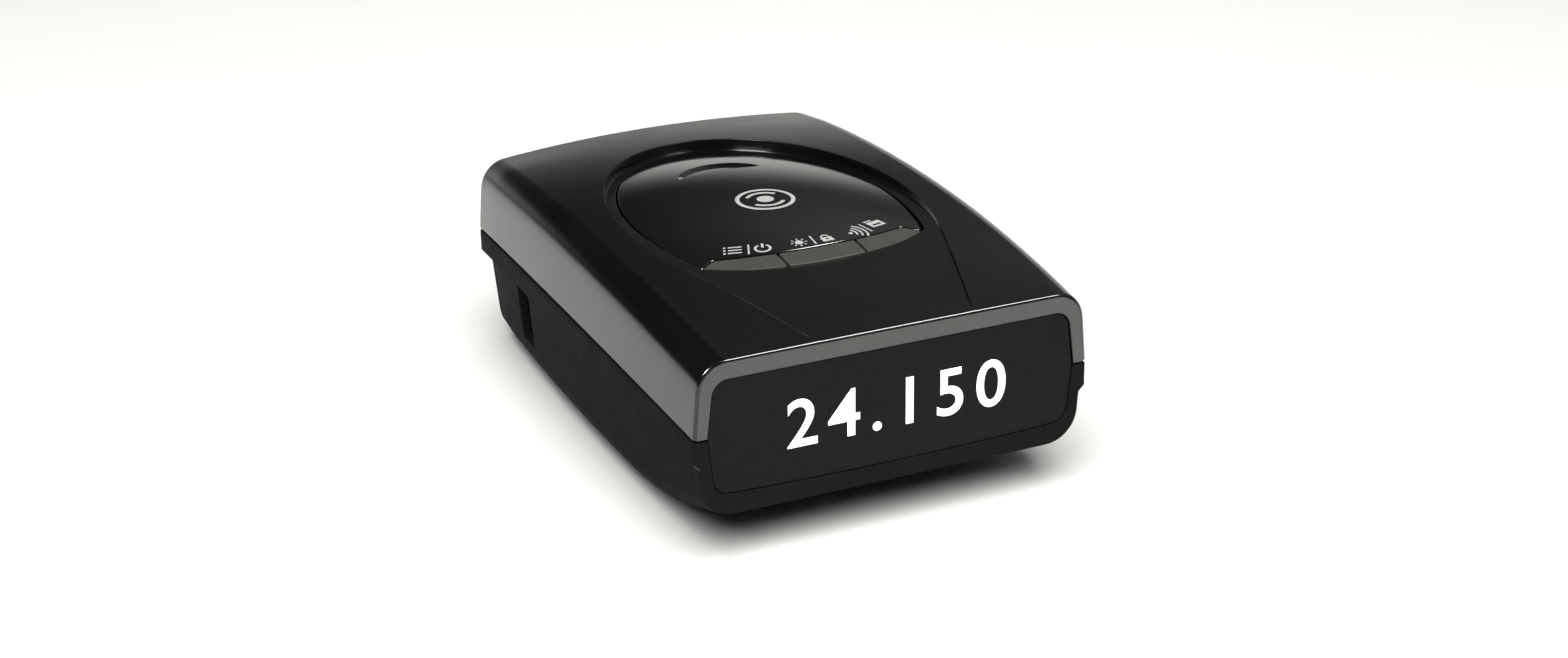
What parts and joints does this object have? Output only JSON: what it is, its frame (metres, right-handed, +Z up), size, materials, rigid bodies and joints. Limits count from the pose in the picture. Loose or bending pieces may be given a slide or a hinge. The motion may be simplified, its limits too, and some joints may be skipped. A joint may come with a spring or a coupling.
{
  "type": "radar detector",
  "caption": "Dashboard radar detector with a display window, press keys on a domed cap, side sockets and a rear bracket slot.",
  "frame": {"origin": "middle of the footprint, on the surface that the feet stand on", "axes": "+Z up, +X to the right of the display, +Y from the display to the rear; the display looks along -Y"},
  "size_m": [0.0758, 0.1084, 0.0397],
  "materials": {
    "cover": "high gloss black",
    "case": "fine satin black",
    "window": "smoked acrylic, hard coated",
    "panel_frame": "satin",
    "panel_glass": "polished",
    "circuit_board": "solder-masked epoxy laminate",
    "flat_cable": "polyimide film",
    "cap": "high gloss black with silver print",
    "key": "satin grey lacquer with silver print",
    "membrane": "matt silicone",
    "screw": "zinc plated",
    "black_screw": "black oxide",
    "switch": "moulded",
    "connector": "moulded",
    "tinned_steel": "tin plated",
    "capacitor": "satin",
    "casting": "as cast",
    "ceramic": "ceramic patch",
    "laser_filter": "dark red, polished",
    "sensor": "moulded",
    "speaker_frame": "plated",
    "foam": "closed-cell foam",
    "socket": "moulded",
    "guide": "moulded",
    "foot_rubber": "matt",
    "label_film": "blank silver film"
  },
  "bodies": {
    "housing": {"top_cover": "cover", "bottom_case": "case", "display_window": "window", "display_panel": "panel_frame", "display_glass": "panel_glass", "display_board": "circuit_board", "display_flex": "flat_cable", "control_cap": "cap", "key_membrane": "membrane", "key_board": "circuit_board", "key_board_screws": "screw", "key_switches": "switch", "key_flex": "flat_cable", "main_board": "circuit_board", "board_screws": "screw", "board_connectors": "connector", "shield_can": "tinned_steel", "board_capacitors": "capacitor", "rf_housing": "casting", "horn_antenna": "casting", "gps_antenna": "ceramic", "laser_lens": "laser_filter", "laser_sensor": "sensor", "speaker": "speaker_frame", "speaker_gasket": "foam", "power_socket": "socket", "audio_socket": "socket", "data_socket": "tinned_steel", "bracket_guide": "guide", "case_screws": "black_screw", "feet": "foot_rubber", "rating_plate": "label_film"},
    "menu_key_body": {"menu_key": "key"},
    "dim_key_body": {"dim_key": "key"},
    "mute_key_body": {"mute_key": "key"}
  },
  "joints": [
    {"name": "menu_key_press", "type": "slide", "parent": "housing", "child": "menu_key_body", "axis": [0, 0, -1], "range_m": [0, 0.0006], "stiffness_N_per_m": 1500},
    {"name": "dim_key_press", "type": "slide", "parent": "housing", "child": "dim_key_body", "axis": [0, 0, -1], "range_m": [0, 0.0006], "stiffness_N_per_m": 1500},
    {"name": "mute_key_press", "type": "slide", "parent": "housing", "child": "mute_key_body", "axis": [0, 0, -1], "range_m": [0, 0.0006], "stiffness_N_per_m": 1500}
  ]
}
